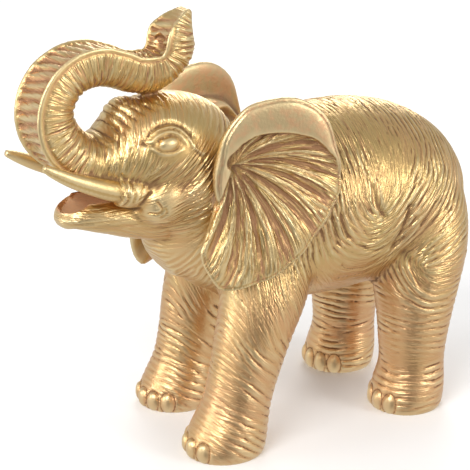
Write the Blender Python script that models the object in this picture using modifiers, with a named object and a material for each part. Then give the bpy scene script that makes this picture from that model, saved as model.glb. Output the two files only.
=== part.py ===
"""Standing elephant figurine with its trunk curled back over the forehead, cast in one piece."""

import math

import bmesh
import bpy
import numpy as np

# Sizes are in millimetres until the last step. X runs from the head to the rump, Y across, Z up.
# The mid-plane is Y = 0 and the left side faces -Y. The stations of every form are set by eye.
MM = 0.001
LEFT, RIGHT = -1, 1

BODY_VOXEL = 1.5
BODY_BLEND = 3.0
SKIN_VOXEL = 0.85
SKIN_BLEND = 0.7
SMOOTH_STRENGTH = 0.5
TRIANGLES = 9900
LOFT_STEPS = 7
LOFT_SIDES = 28
WELD = 1e-4

GOLD_PAINT = (0.72, 0.53, 0.27, 1.0)
GOLD_METALLIC = 0.9
GOLD_ROUGHNESS = 0.38

# Body and neck: X, Z of the centre, half-width, half-height.
TORSO = (
    (-33, 69, 8, 7),
    (-28, 72.5, 17, 16),
    (-18, 77, 25, 26),
    (-5, 80, 29.5, 33),
    (12, 81.8, 32.6, 35.2),
    (30, 82.8, 35.5, 36.5),
    (47, 83.4, 36, 36.4),
    (60, 83, 35.5, 34.2),
    (71, 80.8, 33, 30.4),
    (80.5, 77.2, 28, 24.6),
    (88, 73.5, 20, 17),
    (92.5, 71, 10, 8),
)
NECK = (
    (18, 85, 29, 29),
    (2, 87.5, 28, 26.5),
    (-10, 90.5, 26, 24.5),
    (-20, 96.5, 24.5, 23.5),
    (-29, 104.5, 23, 22),
)
# Head and trunk run on as one tapering form, round the curl to the finger at the tip.
HEAD = (
    (-14, 104, 20, 17.5),
    (-22, 108.2, 22, 21.5),
    (-33, 111.8, 21.5, 21),
    (-44, 112.5, 19, 17.5),
    (-53, 111.3, 15.5, 12.3),
    (-60, 111.4, 13, 9.4),
)
TRUNK = (
    (-48, 111, 15, 10.5),
    (-58, 111, 13, 9.4),
    (-67, 114.6, 12, 9.6),
    (-73.6, 122, 11.2, 9.8),
    (-75.4, 131, 10.6, 9.3),
    (-72.2, 139.2, 10, 9.1),
    (-65.6, 144.4, 9.3, 8.7),
    (-57.5, 145.9, 8.7, 8.4),
    (-50, 144.2, 8.2, 7.8),
    (-43, 141.4, 7.8, 7.6),
    (-36, 140.5, 7.5, 7.9),
    (-30.6, 142.2, 7.8, 7.2),
    (-26.8, 146.8, 8.2, 7.8),
    (-25.6, 152.2, 8.2, 7.6),
    (-23.2, 156.6, 5.8, 5.2),
    (-20, 160.8, 2.6, 1.7),
)
# Shares of the trunk's depth and width.
TRUNK_OUTSIDE = (0.1, 0.7)
TRUNK_FLAT = 0.88
CHANNEL_DEPTH = 0.16
CHANNEL_EDGE = (0.62, 0.86)
RIM_SPREAD = 0.12
JAW = (
    (-24, 93.5, 17, 15),
    (-36, 91.8, 16, 13),
    (-46, 90.8, 13.5, 9),
    (-55, 92.2, 12.2, 7.3),
    (-62.5, 93.3, 10.9, 6.2),
    (-67.6, 92.9, 8.6, 4.8),
    (-71, 91.6, 5.6, 3.3),
    (-72.6, 91, 3, 1.8),
)
JAW_ROOT_ROWS = 4
JAW_RIM = 0.6
MOUTH = ((-58, 0, 100.2), (13.2, 8.6, 6))
NOSTRIL = ((-36.6, 0, 150), (7.6, 4.4, 5.4))
CHEEK = ((-37, 14, 97.5), (11, 7.5, 10))
FOREHEAD = ((-46, 0, 123.2), (9, 9, 9.8))
SHOULDER = ((3, 19, 80), (20, 11, 27))

# Legs: X, Y, Z of the centre going down, half-width along X and along Y.
FRONT_LEG = (
    (5.5, 17.5, 91, 17, 11),
    (3, 18.4, 73, 18.4, 13.6),
    (-1.2, 21.4, 56.5, 16.8, 14.8),
    (-6, 22.6, 43.5, 14.9, 14),
    (-10, 23, 31, 13.5, 13.1),
    (-13.6, 23.2, 19.5, 13.1, 12.8),
    (-17.2, 23.2, 9.5, 14.8, 14.2),
    (-19, 23.2, 3, 15.7, 14.8),
    (-19, 23.2, 0, 14.6, 13.8),
    (-19, 23.2, -4, 12, 11),
)
HIND_LEG = (
    (72, 15, 95, 14, 12),
    (71.5, 17.5, 79, 18.2, 16.5),
    (70.2, 20, 64, 19, 17.3),
    (67.8, 21.6, 50, 17.3, 16.2),
    (66.4, 22.8, 38, 15.1, 14.4),
    (65.6, 23.2, 27, 13.5, 13.2),
    (65.4, 23.2, 18, 12.9, 12.6),
    (64.2, 23.2, 9.5, 14.2, 14),
    (63, 23.2, 3, 14.8, 14.4),
    (63, 23.2, 0, 13.8, 13.4),
    (63, 23.2, -4, 11, 10.6),
)
# The right front leg is set back in its stride, the right hind leg a little forward.
STRIDE = {
    (FRONT_LEG, LEFT): (0, 0),
    (FRONT_LEG, RIGHT): (6.4, 2.2),
    (HIND_LEG, LEFT): (0, 0),
    (HIND_LEG, RIGHT): (0.2, 0.8),
}
STRIDE_TOP = 84.0
ANKLE = 8.0
SOLE_SNAP = 0.1
NAIL_TURNS = (-50, -24, 2, 28)
NAIL_HEIGHT = 4.2
NAIL_RADII = (1.5, 2.5, 3.2)
NAIL_SINK = 0.9

# The tusks leave the lip in a collar and spread as they rise. The right one hangs a little lower.
TUSK_COLLAR = ((-42, 12, 101.4, 5), (-50, 12.6, 101.6, 5.4), (-55.5, 13.2, 102.8, 4.9))
TUSK = (
    (-50, 12.6, 101.8, 3.9),
    (-58, 13.6, 103.8, 3.7),
    (-66, 14.6, 107, 3.2),
    (-74, 15.2, 110.7, 2.7),
    (-80.4, 15.6, 114.2, 2),
    (-84.4, 15.8, 116.6, 1.2),
)
TUSK_DROP = {LEFT: 0.0, RIGHT: 2.6}
TAIL = (
    (82, 0, 100, 3.6),
    (88.5, 0, 92, 3.4),
    (92.6, 0, 82, 3),
    (93, 0, 71, 2.7),
    (90.4, 0, 61, 2.6),
    (87, 0, 53, 3.4),
    (84.6, 0, 46, 2.4),
    (83.6, 0, 42, 1),
)

# The ear is a fan about its root on the head: angle in degrees, reach from the root. The right one
# is a little larger and hangs lower.
EAR_ROOT = (-18.0, 26.0, 110.4)
EAR_EDGE = (
    (-113, 33),
    (-106, 39.5),
    (-98, 45),
    (-88, 44.5),
    (-74, 43.5),
    (-60, 43),
    (-40, 42),
    (-24, 42.4),
    (-14, 42.4),
    (4, 38.8),
    (24, 37.2),
    (42, 32.6),
    (58, 26.4),
    (74, 21.6),
    (90, 15.8),
    (112, 10.5),
    (138, 7),
    (175, 6.2),
    (210, 8),
    (232, 11),
    (246, 14),
)
EAR_SIZE = {LEFT: 1.0, RIGHT: 1.045}
EAR_DROP = {LEFT: 0.0, RIGHT: 1.4}
EAR_LOBE = {LEFT: 1.0, RIGHT: 1.12}
EAR_REACH = 41.0
EAR_THICKNESS = 3.6
EAR_FLARE = 10.2
EAR_CUP = 0.6
# Between these angles the fan stands away from the head, and less so towards its top.
EAR_LEAVES = (-115, -70)
EAR_RETURNS = (120, 150)
EAR_TOP = (10, 75)
EAR_TOP_CALM = 0.55
EAR_ROOT_FLARE = 0.35
EAR_FOLDS_FROM = (3, 14)
EAR_FOLDS = 21
EAR_FOLD_DEPTH = 1.2
EAR_TWIST = 8.0
EAR_UNEVEN = 0.7
EAR_UNEVEN_TURNS = 5
EAR_SLICES = 150
EAR_STEPS = 30
# The smooth band along the ear's top: angle and the reach at which it starts.
EAR_BAND = (
    (-14, 41),
    (-4, 38),
    (4, 34),
    (13, 30),
    (20, 25.5),
    (34, 18),
    (50, 12.5),
    (66, 8),
    (100, 4),
    (250, 1),
)
EAR_BAND_FROM = (-12, 0)
EAR_BAND_LIFT = 2.4

# The eye bulges from the brow under a lid. The lid's rows are X and Z from the eye's middle.
EYE = (-38.4, 118.8)
EYE_RADII = (3.7, 2, 2.8)
EYE_SINK = 0.2
LID = ((-6, 0.4), (-4.2, 2.6), (-1.6, 4), (1.4, 4.4), (4, 3.2), (5.8, 0.8), (7, -2.2))
LOWER_LID = ((-5.8, -0.6), (-4.6, -2.6), (-2.4, -3.8), (1, -3.9), (4.2, -2.6))
LID_RADIUS = 1.2
LID_TAPER = 0.15
CLEAR_OF_HEAD = 100


def smooth_rows(rows, steps=LOFT_STEPS):
    """A smooth curve through rows of numbers, every column alike (Catmull-Rom)."""
    rows = np.array(rows, float)
    padded = np.vstack([2 * rows[0] - rows[1], rows, 2 * rows[-1] - rows[-2]])
    found = []
    for i in range(1, len(padded) - 2):
        before, start, end, after = padded[i - 1 : i + 3]
        slope = end - before
        bend = 2 * before - 5 * start + 4 * end - after
        twist = 3 * start - before - 3 * end + after
        for t in np.arange(steps) / steps:
            found.append(start + 0.5 * (slope * t + bend * t**2 + twist * t**3))
    found.append(rows[-1])
    return np.array(found)


def read_curve(pairs, at):
    """The value at each key of at, on the smooth curve through pairs of key and value."""
    curve = smooth_rows(pairs)
    return np.interp(at, curve[:, 0], curve[:, 1])


def smoothstep(low, high, value):
    t = np.clip((value - low) / (high - low), 0, 1)
    return t * t * (3 - 2 * t)


def skin_rings(bm, rings):
    """Faces between rings of points, and one face over each end."""
    rings = [[bm.verts.new(point) for point in ring] for ring in rings]
    sides = len(rings[0])
    for first, second in zip(rings, rings[1:]):
        for j in range(sides):
            k = (j + 1) % sides
            bm.faces.new((first[j], first[k], second[k], second[j]))
    bm.faces.new(rings[0])
    bm.faces.new(rings[-1])


def loft(bm, centres, across, deep, shape=None):
    """A closed tube along centres. across is its half-width along Y, deep the other half-width."""
    tangents = np.gradient(centres, axis=0)
    tangents /= np.linalg.norm(tangents, axis=1)[:, None]
    angles = np.arange(LOFT_SIDES) * 2 * math.pi / LOFT_SIDES
    wide, high = np.cos(angles), np.sin(angles)
    if shape:
        wide, high = shape(wide, high)
    rings = []
    for centre, tangent, half_width, half_height in zip(centres, tangents, across, deep):
        side = np.array([0.0, 1.0, 0.0]) - tangent * tangent[1]
        side /= np.linalg.norm(side)
        out = np.cross(tangent, side)
        rings.append(centre + np.outer(wide * half_width, side) + np.outer(high * half_height, out))
    skin_rings(bm, rings)


def mid_loft(bm, stations, shape=None):
    """A loft along the mid-plane, from rows of X, Z, half-width and half-height."""
    rows = smooth_rows(stations)
    centres = np.stack([rows[:, 0], np.zeros(len(rows)), rows[:, 1]], 1)
    loft(bm, centres, rows[:, 2], rows[:, 3], shape)


def round_loft(bm, stations, side):
    """A round tube from rows of X, Y, Z and radius, on one side of the mid-plane."""
    rows = smooth_rows(stations)
    loft(bm, rows[:, :3] * (1, side, 1), rows[:, 3], rows[:, 3])


def leg(bm, stations, side):
    """A leg from rows of X, Y, Z and two half-widths, set forward or back by its stride."""
    rows = smooth_rows(stations)
    swing = 1 - smoothstep(ANKLE, STRIDE_TOP, rows[:, 2])
    along, apart = STRIDE[stations, side]
    rows[:, 0] += along * swing
    rows[:, 1] += apart * swing
    angles = np.arange(LOFT_SIDES) * 2 * math.pi / LOFT_SIDES
    rings = []
    for x, y, z, long_way, wide_way in rows:
        rings.append([(x + long_way * math.cos(a), side * y + wide_way * math.sin(a), z) for a in angles])
    skin_rings(bm, rings)


def ball(bm, centre, radii, turn=0.0):
    """An ellipsoid, from Blender's own sphere, turned about Z by degrees."""
    made = bmesh.ops.create_uvsphere(bm, u_segments=24, v_segments=16, radius=1.0)["verts"]
    bmesh.ops.scale(bm, vec=radii, verts=made)
    spin = np.radians(turn)
    for vert in made:
        x, y, z = vert.co
        vert.co = (x * math.cos(spin) - y * math.sin(spin), x * math.sin(spin) + y * math.cos(spin), z)
    bmesh.ops.translate(bm, vec=centre, verts=made)


def nails(bm, side, stations):
    """Arched toenails round the front of one foot, part sunk in its skin."""
    x, y, z, long_way, wide_way = stations[-3]
    along, apart = STRIDE[stations, side]
    for turn in NAIL_TURNS:
        angle = math.radians(180 - turn * side)
        reach_x = (long_way - NAIL_SINK) * math.cos(angle)
        reach_y = (wide_way - NAIL_SINK) * math.sin(angle)
        centre = (x + along + reach_x, side * (y + apart) + reach_y, NAIL_HEIGHT)
        ball(bm, centre, NAIL_RADII, math.degrees(angle))


def ear_height(angle, reach, edge):
    """How far the ear's outer face stands out from its root plane."""
    share = reach / EAR_REACH
    spread = smoothstep(*EAR_LEAVES, angle) * (1 - smoothstep(*EAR_RETURNS, angle))
    spread *= 1 - EAR_TOP_CALM * smoothstep(*EAR_TOP, angle)
    cup = EAR_CUP * math.sin(math.pi * min(share, 1)) * spread
    flare = EAR_FLARE * share * (EAR_ROOT_FLARE + (1 - EAR_ROOT_FLARE) * spread) - cup
    band = read_curve(EAR_BAND, angle)
    in_band = smoothstep(*EAR_BAND_FROM, angle)
    across_band = (reach - band) / max(edge - band, 1)
    roll = EAR_BAND_LIFT * smoothstep(-0.4, 0.6, reach - band) * (1 - 0.5 * np.clip(across_band, 0, 1) ** 2)
    turn = math.radians(angle + EAR_TWIST * share)
    folds = math.cos(EAR_FOLDS * turn + EAR_UNEVEN * math.sin(EAR_UNEVEN_TURNS * turn))
    folded = smoothstep(*EAR_FOLDS_FROM, reach) * (1 - in_band * smoothstep(-1.5, 0.5, reach - band))
    return flare + in_band * roll + EAR_FOLD_DEPTH * folds * folded


def ear(bm, side):
    """The fan of the ear: slices from its root, each a thin closed outline with a rounded rim."""
    angles = np.linspace(EAR_EDGE[0][0], EAR_EDGE[-1][0], EAR_SLICES)
    edges = read_curve(EAR_EDGE, angles)
    shares = np.linspace(0.0, 1.0, EAR_STEPS)
    slices = []
    for angle, edge in zip(angles, edges):
        outer, inner = [], []
        for share in shares:
            reach = share * edge
            x = EAR_ROOT[0] + EAR_SIZE[side] * reach * math.cos(math.radians(angle))
            rise = EAR_SIZE[side] * reach * math.sin(math.radians(angle))
            z = EAR_ROOT[2] + max(rise, 0) + min(rise, 0) * EAR_LOBE[side] - EAR_DROP[side]
            middle = EAR_ROOT[1] + ear_height(angle, reach, edge) - EAR_THICKNESS / 2
            half = EAR_THICKNESS / 2 * math.sqrt(1 - share**10) + WELD * 10
            outer.append((x, side * (middle + half), z))
            inner.append((x, side * (middle - half), z))
        slices.append(outer + inner[::-1])
    skin_rings(bm, slices)


def trunk_section(wide, high):
    """The trunk's outer face is a flat channel between two rims; its other side is round."""
    outside = smoothstep(*TRUNK_OUTSIDE, high)
    channel = CHANNEL_DEPTH * (1 - smoothstep(*CHANNEL_EDGE, np.abs(wide)))
    deep = high * (1 - outside) + (TRUNK_FLAT - channel) * outside
    return wide * (1 + RIM_SPREAD * outside), deep


def jaw_section(wide, high):
    """The jaw is a trough: its sides stand up to a rim above its middle."""
    up = smoothstep(0, 1, high)
    return wide * (1 - up) + np.sign(wide) * np.abs(wide) ** JAW_RIM * up, high


def skin_y(body, side, x, z):
    """Where a line along Y, from outside on one side, meets the body's skin."""
    hit, point, normal, face = body.ray_cast((x, side * CLEAR_OF_HEAD, z), (0, -side, 0))
    return point.y if hit else 0.0


def eye(bm, body, side):
    """The eyeball and its two lids, laid on the skin of the head."""
    x, z = EYE
    ball(bm, (x, skin_y(body, side, x, z) - side * EYE_SINK, z), EYE_RADII)
    for lid in (LID, LOWER_LID):
        rows = smooth_rows([(x + dx, z + dz) for dx, dz in lid])
        centres = np.array([(px, skin_y(body, side, px, pz), pz) for px, pz in rows])
        taper = np.sqrt(np.sin(np.linspace(LID_TAPER, math.pi - LID_TAPER, len(rows))))
        radii = LID_RADIUS * taper
        loft(bm, centres, radii, radii)


def object_of(bm, name):
    """An object from a bmesh, its faces turned outwards."""
    mesh = bpy.data.meshes.new(name)
    bmesh.ops.remove_doubles(bm, verts=bm.verts, dist=WELD)
    bmesh.ops.recalc_face_normals(bm, faces=bm.faces)
    bm.to_mesh(mesh)
    bm.free()
    made = bpy.data.objects.new(name, mesh)
    figurines.objects.link(made)
    return made


def apply_modifiers(made):
    """The object's mesh as its modifiers leave it, in place of the mesh it had."""
    graph = bpy.context.evaluated_depsgraph_get()
    graph.update()
    old = made.data
    made.data = bpy.data.meshes.new_from_object(made.evaluated_get(graph))
    made.modifiers.clear()
    bpy.data.meshes.remove(old)
    bpy.context.view_layer.update()


def one_skin(made, voxel, blend):
    """Makes the object's overlapping forms one skin, then smooths it over the given radius."""
    remesh = made.modifiers.new("One skin", "REMESH")
    remesh.mode = "VOXEL"
    remesh.voxel_size = voxel
    smooth = made.modifiers.new("Blend", "SMOOTH")
    smooth.factor = SMOOTH_STRENGTH
    smooth.iterations = round(2 * (blend / voxel) ** 2)
    apply_modifiers(made)


def dent(points, centre, radii):
    """Pushes what lies inside an ellipsoid out to its surface, as a thumb does in clay."""
    away = (points - centre) / radii
    length = np.linalg.norm(away, axis=1)
    inside = (length < 1) & (length > WELD)
    points[inside] = centre + away[inside] / length[inside, None] * radii


def body_form():
    """The big masses: torso, neck, head, shoulders, haunches and legs, blended into each other."""
    bm = bmesh.new()
    mid_loft(bm, TORSO)
    mid_loft(bm, NECK)
    mid_loft(bm, HEAD)
    mid_loft(bm, JAW[:JAW_ROOT_ROWS])
    for side in (LEFT, RIGHT):
        leg(bm, FRONT_LEG, side)
        leg(bm, HIND_LEG, side)
        for (x, y, z), radii in (SHOULDER, CHEEK):
            ball(bm, (x, side * y, z), radii)
    ball(bm, *FOREHEAD)
    body = object_of(bm, "body_form")
    one_skin(body, BODY_VOXEL, BODY_BLEND)
    return body


def elephant(name):
    """The whole casting: the blended body with trunk, jaw, tusks, ears, tail, nails and eyes on it."""
    body = body_form()
    bm = bmesh.new()
    bm.from_mesh(body.data)
    mid_loft(bm, TRUNK, trunk_section)
    mid_loft(bm, JAW, jaw_section)
    round_loft(bm, TAIL, LEFT)
    for side in (LEFT, RIGHT):
        drop = np.linspace(0, TUSK_DROP[side], len(TUSK))
        tusk = [(x, y, z - fall, radius) for (x, y, z, radius), fall in zip(TUSK, drop)]
        round_loft(bm, TUSK_COLLAR, side)
        round_loft(bm, tusk, side)
        ear(bm, side)
        eye(bm, body, side)
        nails(bm, side, FRONT_LEG)
        nails(bm, side, HIND_LEG)
    bpy.data.objects.remove(body)
    made = object_of(bm, name)
    one_skin(made, SKIN_VOXEL, SKIN_BLEND)

    points = np.array([vert.co for vert in made.data.vertices])
    for centre, radii in (MOUTH, NOSTRIL):
        dent(points, np.array(centre), np.array(radii))
    points[:, 2] = np.maximum(points[:, 2], 0)
    middle = (points.min(axis=0) + points.max(axis=0)) / 2
    points[:, :2] -= middle[:2]
    made.data.vertices.foreach_set("co", (points * MM).astype(np.float32).ravel())

    fewer = made.modifiers.new("Fewer faces", "DECIMATE")
    fewer.ratio = TRIANGLES / (2 * len(made.data.polygons))
    apply_modifiers(made)
    for vert in made.data.vertices:
        if vert.co.z < SOLE_SNAP * MM:
            vert.co.z = 0
    made.data.shade_smooth()
    return made


def gold_paint():
    """Metallic gold paint over cast resin."""
    paint = bpy.data.materials.new("gold_paint")
    paint.use_nodes = True
    shader = paint.node_tree.nodes["Principled BSDF"]
    shader.inputs["Base Color"].default_value = GOLD_PAINT
    shader.inputs["Metallic"].default_value = GOLD_METALLIC
    shader.inputs["Roughness"].default_value = GOLD_ROUGHNESS
    return paint


for old in list(bpy.data.objects):
    bpy.data.objects.remove(old, do_unlink=True)
figurines = bpy.data.collections.new("elephant_figurine")
bpy.context.scene.collection.children.link(figurines)

figurine = elephant("elephant_figurine")
figurine.data.materials.append(gold_paint())
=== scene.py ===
"""Gold-painted resin elephant with its trunk curled back over the forehead, on a pale floor."""

import math

import bmesh
import bpy
import numpy as np
from mathutils import Matrix, Vector


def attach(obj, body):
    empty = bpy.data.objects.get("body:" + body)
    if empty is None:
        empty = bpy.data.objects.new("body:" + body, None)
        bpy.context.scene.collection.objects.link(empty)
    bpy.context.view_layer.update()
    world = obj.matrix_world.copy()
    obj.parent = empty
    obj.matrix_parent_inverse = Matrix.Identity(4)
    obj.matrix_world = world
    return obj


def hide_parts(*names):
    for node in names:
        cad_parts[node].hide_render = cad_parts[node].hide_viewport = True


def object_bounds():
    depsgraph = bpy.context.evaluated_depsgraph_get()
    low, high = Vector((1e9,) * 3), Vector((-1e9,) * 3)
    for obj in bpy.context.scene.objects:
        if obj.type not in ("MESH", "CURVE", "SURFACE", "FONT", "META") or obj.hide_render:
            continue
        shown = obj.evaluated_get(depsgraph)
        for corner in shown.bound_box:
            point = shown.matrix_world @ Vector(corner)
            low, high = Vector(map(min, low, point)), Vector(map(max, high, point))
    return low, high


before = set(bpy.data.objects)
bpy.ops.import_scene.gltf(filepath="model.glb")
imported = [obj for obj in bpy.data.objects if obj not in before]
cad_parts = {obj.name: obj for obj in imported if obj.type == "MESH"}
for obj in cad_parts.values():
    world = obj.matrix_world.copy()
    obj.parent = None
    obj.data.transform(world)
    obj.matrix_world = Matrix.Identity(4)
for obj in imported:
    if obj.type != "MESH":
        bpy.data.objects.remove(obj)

cad_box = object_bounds()

# Body, neck, head and legs. The real piece is one resin casting, modelled first in clay: these are its big
# masses, blended into each other. Sizes are millimetres; X runs from head to rump, Y across with the left
# side at -Y, Z up. Every form's stations are those of the solid.
MM = 0.001
LEFT, RIGHT = -1, 1
BODY_GRAIN = 1.1
BODY_BLEND = 3.0
BLEND_STRENGTH = 0.5
LOFT_STEPS = 12
LOFT_SIDES = 56
WELD = 1e-4

# X, Z of the centre, half-width, half-height.
TORSO = (
    (-33, 69, 8, 7),
    (-28, 72.5, 17, 16),
    (-18, 77, 25, 26),
    (-5, 80, 29.5, 33),
    (12, 81.8, 32.6, 35.2),
    (30, 82.8, 35.5, 36.5),
    (47, 83.4, 36, 36.4),
    (60, 83, 35.5, 34.2),
    (71, 80.8, 33, 30.4),
    (80.5, 77.2, 28, 24.6),
    (88, 73.5, 20, 17),
    (92.5, 71, 10, 8),
)
NECK = (
    (18, 85, 29, 29),
    (2, 87.5, 28, 26.5),
    (-10, 90.5, 26, 24.5),
    (-20, 96.5, 24.5, 23.5),
    (-29, 104.5, 23, 22),
)
HEAD = (
    (-14, 104, 20, 17.5),
    (-22, 108.2, 22, 21.5),
    (-33, 111.8, 21.5, 21),
    (-44, 112.5, 19, 17.5),
    (-53, 111.3, 15.5, 12.3),
    (-60, 111.4, 13, 9.4),
)
JAW = (
    (-24, 93.5, 17, 15),
    (-36, 91.8, 16, 13),
    (-46, 90.8, 13.5, 9),
    (-55, 92.2, 12.2, 7.3),
    (-62.5, 93.3, 10.9, 6.2),
    (-67.6, 92.9, 8.6, 4.8),
    (-71, 91.6, 5.6, 3.3),
    (-72.6, 91, 3, 1.8),
)
JAW_ROOT_ROWS = 4
JAW_RIM = 0.6
CHEEK = ((-37, 14, 97.5), (11, 7.5, 10))
FOREHEAD = ((-46, 0, 123.2), (9, 9, 9.8))
SHOULDER = ((3, 19, 80), (20, 11, 27))
# Legs: X, Y, Z of the centre going down, half-width along X and along Y.
FRONT_LEG = (
    (5.5, 17.5, 91, 17, 11),
    (3, 18.4, 73, 18.4, 13.6),
    (-1.2, 21.4, 56.5, 16.8, 14.8),
    (-6, 22.6, 43.5, 14.9, 14),
    (-10, 23, 31, 13.5, 13.1),
    (-13.6, 23.2, 19.5, 13.1, 12.8),
    (-17.2, 23.2, 9.5, 14.8, 14.2),
    (-19, 23.2, 3, 15.7, 14.8),
    (-19, 23.2, 0, 14.6, 13.8),
    (-19, 23.2, -4, 12, 11),
)
HIND_LEG = (
    (72, 15, 95, 14, 12),
    (71.5, 17.5, 79, 18.2, 16.5),
    (70.2, 20, 64, 19, 17.3),
    (67.8, 21.6, 50, 17.3, 16.2),
    (66.4, 22.8, 38, 15.1, 14.4),
    (65.6, 23.2, 27, 13.5, 13.2),
    (65.4, 23.2, 18, 12.9, 12.6),
    (64.2, 23.2, 9.5, 14.2, 14),
    (63, 23.2, 3, 14.8, 14.4),
    (63, 23.2, 0, 13.8, 13.4),
    (63, 23.2, -4, 11, 10.6),
)
STRIDE = {
    (FRONT_LEG, LEFT): (0, 0),
    (FRONT_LEG, RIGHT): (6.4, 2.2),
    (HIND_LEG, LEFT): (0, 0),
    (HIND_LEG, RIGHT): (0.2, 0.8),
}
STRIDE_TOP = 84.0
ANKLE = 8.0
BALL_SIDES, BALL_RINGS = 32, 20


def smooth_rows(rows, steps=LOFT_STEPS):
    """A smooth curve through rows of numbers, every column alike (Catmull-Rom)."""
    rows = np.array(rows, float)
    padded = np.vstack([2 * rows[0] - rows[1], rows, 2 * rows[-1] - rows[-2]])
    found = []
    for i in range(1, len(padded) - 2):
        before, start, end, after = padded[i - 1 : i + 3]
        slope = end - before
        bend = 2 * before - 5 * start + 4 * end - after
        twist = 3 * start - before - 3 * end + after
        for t in np.arange(steps) / steps:
            found.append(start + 0.5 * (slope * t + bend * t**2 + twist * t**3))
    found.append(rows[-1])
    return np.array(found)


def read_curve(pairs, at):
    """The value at each key of at, on the smooth curve through pairs of key and value."""
    curve = smooth_rows(pairs)
    return np.interp(at, curve[:, 0], curve[:, 1])


def smoothstep(low, high, value):
    """A smooth rise from 0 to 1 as a value goes from low to high."""
    t = np.clip((value - low) / (high - low), 0, 1)
    return t * t * (3 - 2 * t)


def skin_rings(bm, rings):
    """Faces between rings of points, and one face over each end."""
    rings = [[bm.verts.new(point) for point in ring] for ring in rings]
    sides = len(rings[0])
    for first, second in zip(rings, rings[1:]):
        for j in range(sides):
            k = (j + 1) % sides
            bm.faces.new((first[j], first[k], second[k], second[j]))
    bm.faces.new(rings[0])
    bm.faces.new(rings[-1])


def loft(bm, centres, across, deep, shape=None):
    """A closed tube along centres. across is its half-width along Y, deep the other half-width."""
    tangents = np.gradient(centres, axis=0)
    tangents /= np.linalg.norm(tangents, axis=1)[:, None]
    angles = np.arange(LOFT_SIDES) * 2 * math.pi / LOFT_SIDES
    wide, high = np.cos(angles), np.sin(angles)
    if shape:
        wide, high = shape(wide, high)
    rings = []
    for centre, tangent, half_width, half_height in zip(centres, tangents, across, deep):
        side = np.array([0.0, 1.0, 0.0]) - tangent * tangent[1]
        side /= np.linalg.norm(side)
        out = np.cross(tangent, side)
        rings.append(centre + np.outer(wide * half_width, side) + np.outer(high * half_height, out))
    skin_rings(bm, rings)


def mid_loft(bm, stations, shape=None):
    """A loft along the mid-plane, from rows of X, Z, half-width and half-height."""
    rows = smooth_rows(stations)
    centres = np.stack([rows[:, 0], np.zeros(len(rows)), rows[:, 1]], 1)
    loft(bm, centres, rows[:, 2], rows[:, 3], shape)


def round_loft(bm, stations, side):
    """A round tube from rows of X, Y, Z and radius, on one side of the mid-plane."""
    rows = smooth_rows(stations)
    loft(bm, rows[:, :3] * (1, side, 1), rows[:, 3], rows[:, 3])


def leg(bm, stations, side):
    """A leg from rows of X, Y, Z and two half-widths, set forward or back by its stride."""
    rows = smooth_rows(stations)
    swing = 1 - smoothstep(ANKLE, STRIDE_TOP, rows[:, 2])
    along, apart = STRIDE[stations, side]
    rows[:, 0] += along * swing
    rows[:, 1] += apart * swing
    angles = np.arange(LOFT_SIDES) * 2 * math.pi / LOFT_SIDES
    rings = []
    for x, y, z, long_way, wide_way in rows:
        rings.append([(x + long_way * math.cos(a), side * y + wide_way * math.sin(a), z) for a in angles])
    skin_rings(bm, rings)


def ball(bm, centre, radii, turn=0.0):
    """An ellipsoid, from Blender's own sphere, turned about Z by degrees."""
    lump = bmesh.new()
    bmesh.ops.create_uvsphere(lump, u_segments=BALL_SIDES, v_segments=BALL_RINGS, radius=1.0)
    turned = Matrix.Rotation(math.radians(turn), 4, "Z") @ Matrix.Diagonal((*radii, 1.0))
    bmesh.ops.transform(lump, matrix=Matrix.Translation(centre) @ turned, verts=lump.verts)
    shell = bpy.data.meshes.new("ball")
    lump.to_mesh(shell)
    lump.free()
    bm.from_mesh(shell)
    bpy.data.meshes.remove(shell)


def object_of(bm, name):
    """An object from a bmesh, its faces turned outwards."""
    mesh = bpy.data.meshes.new(name)
    bmesh.ops.remove_doubles(bm, verts=bm.verts, dist=WELD)
    bmesh.ops.recalc_face_normals(bm, faces=bm.faces)
    bm.to_mesh(mesh)
    bm.free()
    made = bpy.data.objects.new(name, mesh)
    bpy.context.scene.collection.objects.link(made)
    return made


def apply_modifiers(made):
    """The object's mesh as its modifiers leave it, in place of the mesh it had."""
    graph = bpy.context.evaluated_depsgraph_get()
    graph.update()
    old = made.data
    made.data = bpy.data.meshes.new_from_object(made.evaluated_get(graph))
    made.modifiers.clear()
    bpy.data.meshes.remove(old)
    bpy.context.view_layer.update()


def one_skin(made, voxel, blend):
    """Makes the object's overlapping forms one skin, then smooths it over the given radius."""
    remesh = made.modifiers.new("One skin", "REMESH")
    remesh.mode = "VOXEL"
    remesh.voxel_size = voxel
    smooth = made.modifiers.new("Blend", "SMOOTH")
    smooth.factor = BLEND_STRENGTH
    smooth.iterations = round(2 * (blend / voxel) ** 2)
    apply_modifiers(made)


bm = bmesh.new()
mid_loft(bm, TORSO)
mid_loft(bm, NECK)
mid_loft(bm, HEAD)
mid_loft(bm, JAW[:JAW_ROOT_ROWS])
for side in (LEFT, RIGHT):
    leg(bm, FRONT_LEG, side)
    leg(bm, HIND_LEG, side)
    for (x, y, z), radii in (SHOULDER, CHEEK):
        ball(bm, (x, side * y, z), radii)
ball(bm, *FOREHEAD)
body = object_of(bm, "body_form")
one_skin(body, BODY_GRAIN, BODY_BLEND)
clay = bmesh.new()
clay.from_mesh(body.data)

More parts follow.
